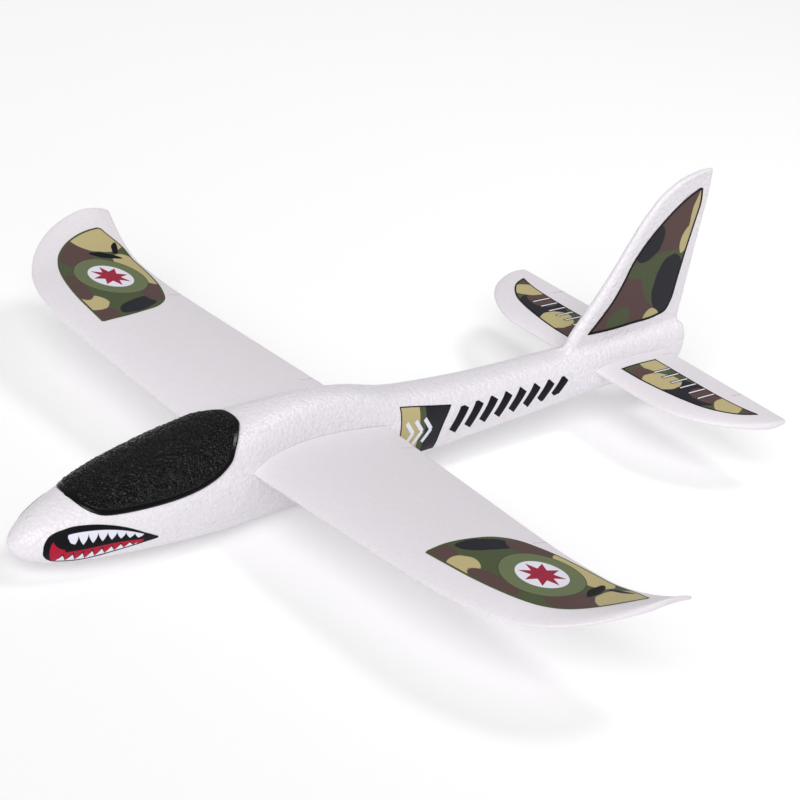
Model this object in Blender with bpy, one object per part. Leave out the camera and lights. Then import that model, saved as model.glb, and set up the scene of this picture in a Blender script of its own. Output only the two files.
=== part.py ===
"""Hand-launched foam glider: a toy airplane of 480 mm span.

Run it with Blender 4.5: blender --background --python part.py

Frame: +X is the port (left) wing, -Y is the nose, +Z is up. The origin is on the
plane of symmetry, halfway along the length, at the height of the flat belly strip.
Lengths are written in millimetres and become metres when a mesh is made.

The airframe is moulded bead foam. One wing passes right through a slot in the
fuselage, one tailplane through a slot in the tail, a black foam canopy plugs the
top of the nose and covers a steel ballast slug, and thin printed films are stuck on.
The trim tabs (two on the wing, two on the tailplane) bend on a scored line.
"""

import math

import bmesh
import bpy
import numpy as np
from mathutils import Matrix, Vector

MM = 0.001

# ---------------------------------------------------------------- driving sizes
SPAN = 480.0
LENGTH = 480.0
NOSE_Y = -LENGTH / 2
TAIL_Y = LENGTH / 2
GAP = 0.3                 # clearance that neighbouring pieces keep
FILM_LIFT = 0.35          # a film's inner face above the foam
FILM_THICKNESS = 0.3

# Fuselage stations: distance from the nose, half width, top, bottom, squareness.
# Squareness is the exponent of the superellipse section: 2 is an ellipse.
HULL_STATIONS = (
    (0, 0.0, 18.0, 18.0, 2.1),
    (9, 11.0, 28.5, 8.5, 2.1),
    (21, 16.5, 35.0, 5.5, 2.1),
    (41, 22.0, 42.0, 3.6, 2.2),
    (81, 28.0, 51.8, 2.6, 2.3),
    (121, 27.0, 59.0, 0.8, 2.4),
    (151, 21.0, 62.9, -0.9, 2.5),
    (181, 17.5, 64.0, -0.6, 2.6),
    (211, 16.8, 61.0, 4.0, 2.6),
    (241, 16.3, 54.3, 8.6, 2.6),
    (271, 16.0, 51.5, 11.6, 2.6),
    (311, 15.0, 49.9, 15.1, 2.6),
    (351, 14.0, 50.3, 18.1, 2.6),
    (391, 13.4, 51.0, 21.4, 2.6),
    (431, 12.4, 51.8, 23.8, 2.6),
    (480, 9.5, 54.6, 27.6, 2.6),
)
TAIL_ROUND = 5.0          # radius of the rounded edge at the tail end
NOSE_FLAT = 0.05          # the tiny flat at the very tip of the nose starts here
HULL_SEGMENTS = 28

# Fin: height, leading edge, trailing edge (distance aft of the middle of the length)
FIN_BASE_Z = 44.0
FIN_TIP_Z = 153.5
FIN_LEADING = ((44, 135), (62, 143.5), (73.5, 152), (93.5, 165.5), (113.3, 176.7),
               (131.3, 188.3), (144, 201.8), (150.8, 217.3), (153.5, 231))
FIN_TRAILING = ((44, 236), (57.5, 235.5), (82.5, 236), (113.5, 237), (139.5, 238), (153.5, 237))
FIN_THICKNESS = (8.0, 4.0)    # at the base and at the tip

# Wing planform
WING_LE_ROOT = -111.5     # leading edge at the middle of the wing
WING_LE_SLOPE = 0.012
WING_SWEEP_START = 130.0  # outboard of this the leading edge curves aft
WING_SWEEP_DEPTH = 75.0
WING_SWEEP_POWER = 2.8
WING_TE = ((0, -11), (100, -21), (140, -24.8), (165, -26.6), (180, -26.6), (199, -25.2),
           (213, -22.8), (240, -18.5))
WING_TOP_ROOT = 45.3      # height of the upper surface at the root
WING_DIHEDRAL = 0.040     # rise per unit of span
WING_CURL_START = 195.0
WING_CURL_HEIGHT = 13.0
WING_THICKNESS = ((0, 9.0), (120, 7.5), (200, 5.5), (240, 3.4))
WING_DROOP = 1.5          # the leading edge hangs below the plane of the top surface
WING_TE_DROP = 3.5
WING_TE_THICKNESS = 2.0

# Wing tabs
FLAP_INNER, FLAP_OUTER = 42.0, 152.0
FLAP_CHORD = 11.0

# Tailplane planform
TAIL_SPAN = 221.0
TAIL_LE_ROOT = 156.0
TAIL_TE_ROOT = 218.0
TAIL_TE_SLOPE = -0.012
TAIL_SWEEP_START = 58.0
TAIL_SWEEP_DEPTH = 56.0
TAIL_SWEEP_POWER = 1.6
TAIL_TOP = 42.6
TAIL_THICKNESS = ((0, 6.4), (70, 5.4), (110.5, 3.4))
TAIL_TE_THICKNESS = 2.0
ELEVATOR_INNER, ELEVATOR_OUTER = 17.5, 75.0
ELEVATOR_CHORD = 10.0

TAB_GROOVE = math.tan(math.radians(34))   # slope of the V under each scored line
TAB_END_GAP = 0.5
TAB_BACK_INSET = 0.3
NOTCH_MARGIN = 12.0       # how far a tab's notch reaches past the plate

# Canopy outline in side view: lower edge from the front point round to the rear
CANOPY_EDGE = ((-213, 43.5), (-209.2, 38.6), (-204, 35.6), (-196, 34.3), (-176, 36), (-153.5, 38.8),
               (-138, 42.8), (-126.6, 48.2), (-121, 53), (-115.7, 56.9), (-112.4, 58.8),
               (-110.3, 59.8), (-109, 60.9), (-108.4, 63), (-108, 67))
CANOPY_PROUD = 0.8

# Printed films: the two edges of each, from its first corner to its last
# (y, z) on the side of the fuselage and of the fin, (x, y) on the wing and the tailplane
MOUTH_UPPER = ((-228.6, 17.6), (-228.5, 21.2), (-226.8, 24.6), (-217.6, 29.4), (-206, 30.9),
               (-194.8, 29.7), (-186.6, 27.4), (-178.3, 23.7), (-170, 19.8))
MOUTH_LOWER = ((-228.4, 16.2), (-227, 14.2), (-224, 12), (-216.6, 10.4), (-208.7, 10.3),
               (-201.3, 11.8), (-193, 14), (-184, 16.1), (-170, 18.8))
PANEL_FRONT = ((-2, 49.6), (-2, 42), (-1.8, 30), (-1.6, 18.2))
PANEL_REAR = ((36.5, 43.8), (32, 36), (29.5, 28), (28.5, 18.2))
STRIPE_TOP = ((40, 41.2), (72, 42.4), (104, 42.9), (136, 42.4))
STRIPE_BOTTOM = ((35, 25.4), (66, 26.8), (98, 28.2), (127, 32.4))
FIN_FILM_FRONT = ((152, 60.4), (160, 68.8), (169, 79.8), (174.5, 90), (179.7, 102), (187, 112.2),
                  (197, 122.6), (208, 131.8), (219, 138.8), (228, 142.6))
FIN_FILM_REAR = ((154.5, 60), (172, 59.6), (192, 60.2), (213, 61.3), (221.5, 63.8), (224.6, 70),
                 (226, 82), (228.2, 103), (230.6, 120), (232.2, 134), (230.6, 142))
WING_FILM_FRONT = ((135.6, -94.6), (150, -93.2), (164, -91.6), (178, -88.8), (190, -85.2),
                   (201, -80.2), (210, -74), (217, -65.5), (222, -55.5), (225.5, -44), (227, -35.5))
WING_FILM_REAR = ((134.8, -93), (134.6, -80), (136.5, -65.5), (140.7, -51), (147, -42.6),
                  (157, -36.8), (168, -32.6), (182, -29.8), (198, -28.2), (212, -26.9), (226, -33))
TAIL_FILM_FRONT = ((21, 168.4), (38, 168.8), (52, 170.6), (66, 173.6), (78, 178), (87, 184.4),
                   (94, 192.5), (98.4, 202.6))
TAIL_FILM_REAR = ((21, 198.4), (35, 198.3), (49, 198.3), (62, 198.4), (75, 199), (85, 200.2),
                  (92, 201.8), (98.2, 203.8))

# Steel ballast slug, upright in a pocket under the canopy
BALLAST_Y = -203.0
BALLAST_RADIUS = 6.5
BALLAST_LENGTH = 19.0
BALLAST_BOTTOM = 9.0


# ---------------------------------------------------------------- small tools
def smooth_curve(points):
    """A function through the points: cubic pieces whose slopes match at each point."""
    xs = np.array([p[0] for p in points], float)
    ys = np.array([p[1] for p in points], float)
    chord = np.diff(ys) / np.diff(xs)
    slope = np.empty_like(ys)
    slope[0], slope[-1] = chord[0], chord[-1]
    width = np.diff(xs)
    slope[1:-1] = (chord[:-1] * width[1:] + chord[1:] * width[:-1]) / (width[1:] + width[:-1])

    def value(x):
        i = int(np.clip(np.searchsorted(xs, x) - 1, 0, len(xs) - 2))
        h = xs[i + 1] - xs[i]
        t = (x - xs[i]) / h
        return float((1 + 2 * t) * (1 - t) ** 2 * ys[i] + t * (1 - t) ** 2 * h * slope[i]
                     + t * t * (3 - 2 * t) * ys[i + 1] + t * t * (t - 1) * h * slope[i + 1])

    return value


def material(name, colour, roughness, metallic=0.0):
    made = bpy.data.materials.new(name)
    made.use_nodes = True
    shader = made.node_tree.nodes["Principled BSDF"]
    shader.inputs["Base Color"].default_value = (*colour, 1.0)
    shader.inputs["Roughness"].default_value = roughness
    shader.inputs["Metallic"].default_value = metallic
    return made


def mesh_object(name, verts, faces, finish=None, smooth_angle=40):
    """A mesh object from points in millimetres."""
    mesh = bpy.data.meshes.new(name)
    mesh.from_pydata([Vector(v) * MM for v in verts], [], faces)
    mesh.validate()
    work = bmesh.new()
    work.from_mesh(mesh)
    bmesh.ops.recalc_face_normals(work, faces=work.faces)
    work.to_mesh(mesh)
    work.free()
    mesh.shade_smooth()
    mesh.set_sharp_from_angle(angle=math.radians(smooth_angle))
    made = bpy.data.objects.new(name, mesh)
    bpy.context.scene.collection.objects.link(made)
    if finish:
        mesh.materials.append(finish)
    return made


def loft(rings):
    """Points and faces of a skin over rings of equal length, with closed ends."""
    count = len(rings[0])
    verts = [point for ring in rings for point in ring]
    faces = []
    for r in range(len(rings) - 1):
        for k in range(count):
            nxt = (k + 1) % count
            faces.append((r * count + k, r * count + nxt,
                          (r + 1) * count + nxt, (r + 1) * count + k))
    last = (len(rings) - 1) * count
    faces.append(tuple(range(count))[::-1])
    faces.append(tuple(range(last, last + count)))
    return verts, faces


def mirror_x(points):
    return [(-x, y, z) for x, y, z in points]


def hide_cutter(cutter):
    cutter.hide_render = True
    cutter.display_type = "WIRE"


def boolean(target, cutter, operation):
    cut = target.modifiers.new(operation.title() + " " + cutter.name, "BOOLEAN")
    cut.operation = operation
    cut.object = cutter
    cut.solver = "EXACT"
    hide_cutter(cutter)


# ---------------------------------------------------------------- fuselage skin
# The stations are joined over the square root of the distance from the nose, which
# makes the nose round.
HALF_WIDTH = smooth_curve([(math.sqrt(s[0]), s[1]) for s in HULL_STATIONS])
MIDDLE = smooth_curve([(math.sqrt(s[0]), (s[2] + s[3]) / 2) for s in HULL_STATIONS])
HALF_HEIGHT = smooth_curve([(math.sqrt(s[0]), (s[2] - s[3]) / 2) for s in HULL_STATIONS])
SQUARENESS = smooth_curve([(math.sqrt(s[0]), s[4]) for s in HULL_STATIONS])


def hull_point(y, angle, grow=0.0):
    """A point on the fuselage skin: angle 0 is port, 90 degrees is the top."""
    root = math.sqrt(max(y - NOSE_Y, 0.0))
    a, b, power = HALF_WIDTH(root), HALF_HEIGHT(root), SQUARENESS(root)
    inset = 0.0
    into_round = y - (TAIL_Y - TAIL_ROUND)
    if into_round > 0:
        inset = TAIL_ROUND - math.sqrt(max(TAIL_ROUND ** 2 - into_round ** 2, 0.0))
    a, b = a - inset + grow, b - inset + grow
    c, s = math.cos(angle), math.sin(angle)
    x = math.copysign(a * abs(c) ** (2 / power), c)
    z = MIDDLE(root) + math.copysign(b * abs(s) ** (2 / power), s)
    return (x, y, max(z, -grow))


def hull_rings(grow=0.0):
    roots = np.linspace(math.sqrt(NOSE_FLAT), math.sqrt(LENGTH - TAIL_ROUND), 44)
    places = [NOSE_Y + r * r for r in roots]
    places += [TAIL_Y - TAIL_ROUND * (1 - math.sin(a)) for a in (0.4, 0.8, 1.15, 1.45)]
    angles = [2 * math.pi * k / HULL_SEGMENTS for k in range(HULL_SEGMENTS)]
    return [[hull_point(y, angle, grow) for angle in angles] for y in places]


FIN_FRONT = smooth_curve([(height, y) for height, y in FIN_LEADING])
FIN_BACK = smooth_curve([(height, y) for height, y in FIN_TRAILING])


def fin_half(height, along):
    """Half the fin's thickness at a share of its chord, with a round front edge."""
    share = (height - FIN_BASE_Z) / (FIN_TIP_Z - FIN_BASE_Z)
    thick = FIN_THICKNESS[0] + (FIN_THICKNESS[1] - FIN_THICKNESS[0]) * share
    chord = FIN_BACK(height) - FIN_FRONT(height)
    nose = math.sin(math.sqrt(min(1.0, along * chord / (0.9 * thick))) * math.pi / 2)
    return (thick / 2) * nose * (1 - 0.55 * along ** 1.5)


def fin_ring(height):
    """A loop round the fin at a height."""
    front, back = FIN_FRONT(height), FIN_BACK(height)
    shares = [(k / 7) ** 1.6 for k in range(1, 8)]
    port = [(fin_half(height, a), front + (back - front) * a, height) for a in shares]
    return [(0.0, front, height)] + port + mirror_x(port)[::-1]


def build_fuselage(finish):
    verts, faces = loft(hull_rings())
    hull = mesh_object("fuselage", verts, faces, finish)
    heights = [FIN_TIP_Z - (FIN_TIP_Z - FIN_BASE_Z) * (1 - k / 21) ** 1.5 for k in range(22)]
    verts, faces = loft([fin_ring(height) for height in heights])
    boolean(hull, mesh_object("fin_blank", verts, faces), "UNION")
    return hull


# ---------------------------------------------------------------- wing and tailplane
class Plate:
    """A thin lifting surface: its planform and its two skins, symmetric about x = 0."""

    def __init__(self, half_span, leading, trailing, top, thickness, droop, drop, te_thickness):
        self.half_span = half_span
        self.leading = leading
        self.trailing = trailing
        self.top = top
        self.thickness = thickness
        self.droop = droop
        self.drop = drop
        self.te_thickness = te_thickness

    def skins(self, x, y):
        """Heights of the upper and the lower skin above a point of the planform."""
        x = min(abs(x), self.half_span)
        front, back = self.leading(x), self.trailing(x)
        share = min(max((y - front) / (back - front), 0.0), 1.0)
        thick, te = self.thickness(x), self.te_thickness
        te = min(te, 0.6 * thick)
        half = thick * (1.4845 * math.sqrt(share) - 0.63 * share - 1.758 * share ** 2
                        + 1.4215 * share ** 3 - 0.5075 * share ** 4) + te / 2 * share
        mid = -(thick / 2) * (1 - share) - te / 2 * share
        mid -= self.droop * (1 - min(share / 0.38, 1.0)) ** 2
        mid -= self.drop * share ** 3
        level = self.top(x, y) + mid
        return level + half, level - half

    def section(self, x, steps, grow=0.0):
        """A closed loop of points round the section at x."""
        front, back = self.leading(x), self.trailing(x)
        shares = [(1 - math.cos(math.pi * k / steps)) / 2 for k in range(steps + 1)]
        places = [front + (back - front) * share for share in shares]
        upper, lower = [], []
        for y in places:
            high, low = self.skins(x, y)
            share = (y - front) / (back - front)
            y_out = y + grow * (2 * share - 1) if grow else y
            upper.append((x, y_out, high + grow))
            lower.append((x, y_out, low - grow))
        ends_apart = grow > 0
        loop = upper[::-1] + (lower if ends_apart else lower[1:])
        return loop


def superellipse_sweep(x, start, end, depth, power):
    """How far a curved edge has swept aft at x: nothing at start, depth at the tip."""
    share = min(max((x - start) / (end - start), 0.0), 1.0)
    return depth * (1 - math.sqrt(max(1 - share ** power, 0.0)))


def make_wing_plate():
    trailing = smooth_curve(WING_TE)
    thickness = smooth_curve(WING_THICKNESS)

    def leading(x):
        return WING_LE_ROOT + WING_LE_SLOPE * x + superellipse_sweep(
            x, WING_SWEEP_START, SPAN / 2 + 0.4, WING_SWEEP_DEPTH, WING_SWEEP_POWER)

    def top(x, y):
        curl = max(0.0, (x - WING_CURL_START) / (SPAN / 2 - WING_CURL_START)) ** 2
        return (WING_TOP_ROOT + WING_DIHEDRAL * (math.hypot(x, 12.0) - 12.0)
                + WING_CURL_HEIGHT * curl)

    return Plate(SPAN / 2, leading, trailing, top, thickness, WING_DROOP, WING_TE_DROP,
                 WING_TE_THICKNESS)


def make_tail_plate():
    thickness = smooth_curve(TAIL_THICKNESS)

    def leading(x):
        return TAIL_LE_ROOT + superellipse_sweep(
            x, TAIL_SWEEP_START, TAIL_SPAN / 2 + 0.3, TAIL_SWEEP_DEPTH, TAIL_SWEEP_POWER)

    def trailing(x):
        return TAIL_TE_ROOT + TAIL_TE_SLOPE * x

    def top(x, y):
        return TAIL_TOP

    return Plate(TAIL_SPAN / 2, leading, trailing, top, thickness, 0.0, 0.0, TAIL_TE_THICKNESS)


WING = make_wing_plate()
TAILPLANE = make_tail_plate()


def plate_object(name, plate, stations, steps, finish=None):
    rings = [plate.section(x, steps) for x in stations]
    mirrored = [[(-x, y, z) for x, y, z in ring] for ring in rings[1:]][::-1]
    verts, faces = loft(mirrored + rings)
    return mesh_object(name, verts, faces, finish)


def slot_cutter(name, plate, reach, steps):
    """The plate grown by the clearance, as long as the fuselage is wide."""
    stations = (-reach, -reach / 2, 0, reach / 2, reach)
    rings = []
    for x in stations:
        ring = plate.section(abs(x), steps, GAP)
        rings.append([(x, y, z) for _, y, z in ring])
    verts, faces = loft(rings)
    return mesh_object(name, verts, faces)


class Tab:
    """A trim tab at the trailing edge of a plate, bending on its scored line."""

    def __init__(self, plate, inner, outer, chord):
        self.plate = plate
        self.inner = self.axis_point(inner, chord)
        self.outer = self.axis_point(outer, chord)
        self.chord = chord
        run = self.outer - self.inner
        self.length = run.length
        self.along = run.normalized()
        self.aft = Vector((-run.y, run.x, 0)).normalized()

    def axis_point(self, x, chord):
        y = self.plate.trailing(x) - chord
        return Vector((x, y, self.plate.skins(x, y)[0]))

    def skin_points(self, s, c):
        """The upper and lower skin a distance s along the line and c aft of it."""
        at = self.inner + self.along * s + self.aft * c
        high, low = self.plate.skins(at.x, at.y)
        return Vector((at.x, at.y, high)), Vector((at.x, at.y, low))

    def solid(self):
        """Rings of the tab, with the V groove under the scored line."""
        rings = []
        for k in range(9):
            s = TAB_END_GAP + (self.length - 2 * TAB_END_GAP) * k / 8
            top_front, low_front = self.skin_points(s, GAP / 2)
            depth = top_front.z - low_front.z
            lean = GAP / 2 + depth * TAB_GROOVE
            back = self.chord - TAB_BACK_INSET
            upper = [self.skin_points(s, c)[0] for c in (GAP / 2, self.chord / 2, back)]
            lower = [self.skin_points(s, c)[1] for c in (back, self.chord / 2, lean)]
            rings.append([tuple(p) for p in upper + lower])
        return rings

    def notch(self):
        """The box cut out of the plate to make room for the tab."""
        rings = []
        for s in (0.0, self.length):
            at = self.inner + self.along * s
            front = at - self.aft * (GAP / 2)
            back = at + self.aft * (self.chord + NOTCH_MARGIN)
            top, bottom = at.z + NOTCH_MARGIN, at.z - NOTCH_MARGIN
            corners = ((front, top), (back, top), (back, bottom), (front, bottom))
            rings.append([(point.x, point.y, height) for point, height in corners])
        return loft(rings)


def add_tabs(plate_body, tab, left_name, right_name, finish):
    """Cuts both notches and places both tabs, each under an empty on its line."""
    verts, faces = tab.notch()
    boolean(plate_body, mesh_object(left_name + "_notch", verts, faces), "DIFFERENCE")
    boolean(plate_body, mesh_object(right_name + "_notch", mirror_x(verts), faces), "DIFFERENCE")
    for name, side in ((left_name, 1), (right_name, -1)):
        rings = tab.solid()
        pivot = Vector((side * tab.inner.x, tab.inner.y, tab.inner.z))
        line = Vector((side * tab.along.x, tab.along.y, tab.along.z))
        turn = Vector((1, 0, 0)).rotation_difference(line).to_matrix().to_4x4()
        place = Matrix.Translation(pivot) @ turn
        back = place.inverted()
        local = [[tuple(back @ Vector((side * x, y, z))) for x, y, z in ring] for ring in rings]
        verts, faces = loft(local)
        body = mesh_object(name, verts, faces, finish)
        hinge = bpy.data.objects.new(name + "_line", None)
        hinge.empty_display_size = 0.01
        hinge.matrix_world = Matrix.Translation(pivot * MM) @ turn
        bpy.context.scene.collection.objects.link(hinge)
        body.parent = hinge


def build_wing(finish):
    stations = [0, 14, 28, 42, 60, 80, 100, 120, 138, 152, 165, 178, 190, 201, 211, 219,
                226, 231.5, 235.5, 238.3, 240]
    return plate_object("wing", WING, stations, 12, finish)


def build_tailplane(finish):
    stations = [0, 12, 24, 40, 58, 70, 80, 88, 95, 101, 105.5, 108.6, 110.5]
    return plate_object("tailplane", TAILPLANE, stations, 10, finish)


# ---------------------------------------------------------------- canopy and ballast
def canopy_prism(name, shrink):
    """The block that the canopy is cut with: its side outline, across the fuselage."""
    edge = smooth_outline(CANOPY_EDGE, 5)
    outline = edge + [(edge[-1][0], 90.0), (edge[0][0] - 40.0, 90.0), (edge[0][0] - 40.0, 58.0)]
    if shrink:
        outline = shrink_outline(outline, shrink)
    rings = [[(x, y, z) for y, z in outline] for x in (-60.0, 60.0)]
    verts, faces = loft(rings)
    return mesh_object(name, verts, faces)


def smooth_outline(points, steps):
    """An open curve through the points: Catmull-Rom pieces."""
    padded = [points[0], *points, points[-1]]
    curve = []
    for i in range(1, len(padded) - 2):
        p0, p1, p2, p3 = (np.array(padded[i + j], float) for j in (-1, 0, 1, 2))
        for k in range(steps):
            t = k / steps
            curve.append(tuple(0.5 * (2 * p1 + (p2 - p0) * t + (2 * p0 - 5 * p1 + 4 * p2 - p3) * t * t
                                      + (3 * p1 - p0 - 3 * p2 + p3) * t ** 3)))
    curve.append(tuple(np.array(points[-1], float)))
    return curve


def shrink_outline(outline, inset):
    """The closed outline moved inwards, square to its own direction."""
    moved = []
    count = len(outline)
    for i in range(count):
        before = np.array(outline[i - 1])
        here = np.array(outline[i])
        after = np.array(outline[(i + 1) % count])
        d1 = (here - before) / np.linalg.norm(here - before)
        d2 = (after - here) / np.linalg.norm(after - here)
        inward = np.array([-(d1 + d2)[1], (d1 + d2)[0]])
        inward /= np.linalg.norm(inward)
        moved.append(tuple(here + inward * inset))
    return moved


def build_canopy(hull, finish):
    boolean(hull, canopy_prism("canopy_recess", 0.0), "DIFFERENCE")
    verts, faces = loft(hull_rings(CANOPY_PROUD))
    canopy = mesh_object("canopy", verts, faces, finish)
    boolean(canopy, canopy_prism("canopy_block", GAP), "INTERSECT")
    return canopy


def cylinder(name, radius, bottom, top, y, sides, finish=None):
    rings = []
    for z in (bottom, top):
        rings.append([(radius * math.cos(2 * math.pi * k / sides),
                       y + radius * math.sin(2 * math.pi * k / sides), z) for k in range(sides)])
    verts, faces = loft(rings)
    return mesh_object(name, verts, faces, finish)


def build_ballast(hull, finish):
    pocket = cylinder("ballast_pocket", BALLAST_RADIUS + GAP, BALLAST_BOTTOM - GAP, 60.0,
                      BALLAST_Y, 24)
    boolean(hull, pocket, "DIFFERENCE")
    return cylinder("nose_ballast", BALLAST_RADIUS, BALLAST_BOTTOM,
                    BALLAST_BOTTOM + BALLAST_LENGTH, BALLAST_Y, 24, finish)


# ---------------------------------------------------------------- printed films
def path_through(points):
    """A curve in a plane through the points, as a function of the share of its length."""
    places = np.array(points, float)
    run = np.concatenate([[0.0], np.cumsum(np.linalg.norm(np.diff(places, axis=0), axis=1))])
    first = smooth_curve(list(zip(run / run[-1], places[:, 0])))
    second = smooth_curve(list(zip(run / run[-1], places[:, 1])))
    return lambda share: np.array((first(share), second(share)))


def hull_side(y, z):
    """The port side of the fuselage at a height."""
    root = math.sqrt(y - NOSE_Y)
    power = SQUARENESS(root)
    share = min(abs(z - MIDDLE(root)) / HALF_HEIGHT(root), 0.999)
    return Vector((HALF_WIDTH(root) * (1 - share ** power) ** (1 / power), y, z))


def fin_side(y, z):
    front, back = FIN_FRONT(z), FIN_BACK(z)
    return Vector((fin_half(z, (y - front) / (back - front)), y, z))


def wing_top(x, y):
    return Vector((x, y, WING.skins(x, y)[0]))


def tailplane_top(x, y):
    return Vector((x, y, TAILPLANE.skins(x, y)[0]))


def film_points(skin, first_edge, second_edge, along, across, outward):
    """Two grids of points, the film's inner and outer face, clear of the skin below."""
    reach = 0.2
    inner, outer = [], []
    edge_a, edge_b = path_through(first_edge), path_through(second_edge)
    for i in range(along):
        start, end = edge_a(i / (along - 1)), edge_b(i / (along - 1))
        for j in range(across):
            p, q = start + (end - start) * j / (across - 1)
            here = skin(p, q)
            normal = (skin(p + reach, q) - here).cross(skin(p, q + reach) - here).normalized()
            if normal.dot(outward) < 0:
                normal.negate()
            inner.append(here + normal * FILM_LIFT)
            outer.append(here + normal * (FILM_LIFT + FILM_THICKNESS))
    return inner, outer


def film_faces(along, across):
    """Faces of the closed sheet whose points are the inner grid and then the outer one."""
    count = along * across
    faces = []
    for i in range(along - 1):
        for j in range(across - 1):
            corner = (i * across + j, i * across + j + 1,
                      (i + 1) * across + j + 1, (i + 1) * across + j)
            faces.append(corner[::-1])
            faces.append(tuple(count + k for k in corner))
    rim = list(range(across))
    rim += [i * across + across - 1 for i in range(1, along)]
    rim += [(along - 1) * across + j for j in range(across - 2, -1, -1)]
    rim += [i * across for i in range(along - 2, 0, -1)]
    for k, here in enumerate(rim):
        after = rim[(k + 1) % len(rim)]
        faces.append((here, after, count + after, count + here))
    return faces


def add_film_pair(name, skin, edges, grid, outward, finish):
    """The film on the port side and its mirror image on the starboard side."""
    along, across = grid
    inner, outer = film_points(skin, *edges, along, across, Vector(outward))
    points = [tuple(p) for p in inner + outer]
    faces = film_faces(along, across)
    mesh_object("left_" + name, points, faces, finish)
    mesh_object("right_" + name, mirror_x(points), faces, finish)


def add_films():
    camouflage = material("camouflage_print", (0.10, 0.11, 0.06), 0.25)
    red = material("mouth_print", (0.48, 0.02, 0.05), 0.25)
    black = material("stripe_print", (0.02, 0.02, 0.02), 0.25)
    side, up = (1, 0, 0), (0, 0, 1)
    add_film_pair("mouth_film", hull_side, (MOUTH_UPPER, MOUTH_LOWER), (12, 6), side, red)
    add_film_pair("boom_panel_film", hull_side, (PANEL_FRONT, PANEL_REAR), (10, 4), side, camouflage)
    add_film_pair("boom_stripe_film", hull_side, (STRIPE_TOP, STRIPE_BOTTOM), (8, 5), side, black)
    add_film_pair("fin_film", fin_side, (FIN_FILM_FRONT, FIN_FILM_REAR), (12, 4), side, camouflage)
    add_film_pair("wing_film", wing_top, (WING_FILM_FRONT, WING_FILM_REAR), (14, 7), up, camouflage)
    add_film_pair("tailplane_film", tailplane_top, (TAIL_FILM_FRONT, TAIL_FILM_REAR), (10, 4), up,
                  camouflage)


# ---------------------------------------------------------------- build
def clear_scene():
    for old in list(bpy.data.objects):
        bpy.data.objects.remove(old, do_unlink=True)


def main():
    clear_scene()
    white = material("white_bead_foam", (0.80, 0.78, 0.81), 0.45)
    black = material("black_bead_foam", (0.012, 0.012, 0.013), 0.35)
    steel = material("zinc_plated_steel", (0.55, 0.56, 0.58), 0.35, 1.0)

    hull = build_fuselage(white)
    boolean(hull, slot_cutter("wing_slot", WING, 45.0, 12), "DIFFERENCE")
    boolean(hull, slot_cutter("tail_slot", TAILPLANE, 30.0, 10), "DIFFERENCE")
    build_canopy(hull, black)
    build_ballast(hull, steel)

    wing = build_wing(white)
    add_tabs(wing, Tab(WING, FLAP_INNER, FLAP_OUTER, FLAP_CHORD), "left_flap", "right_flap", white)
    tailplane = build_tailplane(white)
    add_tabs(tailplane, Tab(TAILPLANE, ELEVATOR_INNER, ELEVATOR_OUTER, ELEVATOR_CHORD),
             "left_elevator", "right_elevator", white)
    add_films()


main()
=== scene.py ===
"""Looks of the foam glider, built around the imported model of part.py.

Lengths are written in millimetres and become metres when a mesh is made. +X is the
port wing, -Y is the nose, +Z is up, and the belly strip stands on z = 0.
"""
import math

import bmesh
import bpy
import numpy as np
from mathutils import Matrix, Vector, noise


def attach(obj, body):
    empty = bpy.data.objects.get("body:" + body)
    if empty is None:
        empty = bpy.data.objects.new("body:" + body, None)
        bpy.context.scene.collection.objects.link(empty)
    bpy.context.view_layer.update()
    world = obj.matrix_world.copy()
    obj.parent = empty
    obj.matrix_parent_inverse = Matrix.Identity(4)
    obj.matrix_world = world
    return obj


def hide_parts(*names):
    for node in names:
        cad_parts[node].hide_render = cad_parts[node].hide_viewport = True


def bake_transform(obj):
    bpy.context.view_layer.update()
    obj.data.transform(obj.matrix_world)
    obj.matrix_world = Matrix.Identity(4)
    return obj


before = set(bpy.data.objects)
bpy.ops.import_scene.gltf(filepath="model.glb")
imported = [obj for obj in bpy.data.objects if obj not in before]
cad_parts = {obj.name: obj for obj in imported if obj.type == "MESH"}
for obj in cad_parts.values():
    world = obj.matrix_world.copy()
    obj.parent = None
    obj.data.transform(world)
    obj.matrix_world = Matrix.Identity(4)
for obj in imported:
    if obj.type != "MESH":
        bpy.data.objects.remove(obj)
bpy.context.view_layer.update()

MM = 0.001
TURN = 2 * math.pi


# ---------------------------------------------------------------- camera, light, floor
def add_camera():
    camera_data = bpy.data.cameras.new("camera")
    camera_data.lens = 104.083
    camera_data.sensor_width = 36.0
    camera = bpy.data.objects.new("camera", camera_data)
    azimuth, elevation, roll = (math.radians(a) for a in (43.676, 26.109, 10.651))
    back = Vector((math.sin(azimuth) * math.cos(elevation),
                   -math.cos(azimuth) * math.cos(elevation), math.sin(elevation)))
    level = Vector((math.cos(azimuth), math.sin(azimuth), 0.0))
    upright = back.cross(level)
    right = level * math.cos(roll) + upright * math.sin(roll)
    up = upright * math.cos(roll) - level * math.sin(roll)
    target = Vector((0.01349, -0.00385, 0.05483))
    distance = 1.24745
    place = target + back * distance
    rows = [(right[i], up[i], back[i], place[i]) for i in range(3)]
    camera.matrix_world = Matrix((*rows, (0.0, 0.0, 0.0, 1.0)))
    bpy.context.scene.collection.objects.link(camera)
    bpy.context.scene.camera = camera


def add_light(name, kind, place, power):
    """A lamp that shines from a place towards the middle of the airplane."""
    lamp = bpy.data.lights.new(name, kind)
    lamp.energy = power
    made = bpy.data.objects.new(name, lamp)
    made.location = place
    made.rotation_euler = (-Vector(place)).to_track_quat("-Z", "Y").to_euler()
    bpy.context.scene.collection.objects.link(made)
    return lamp


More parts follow.
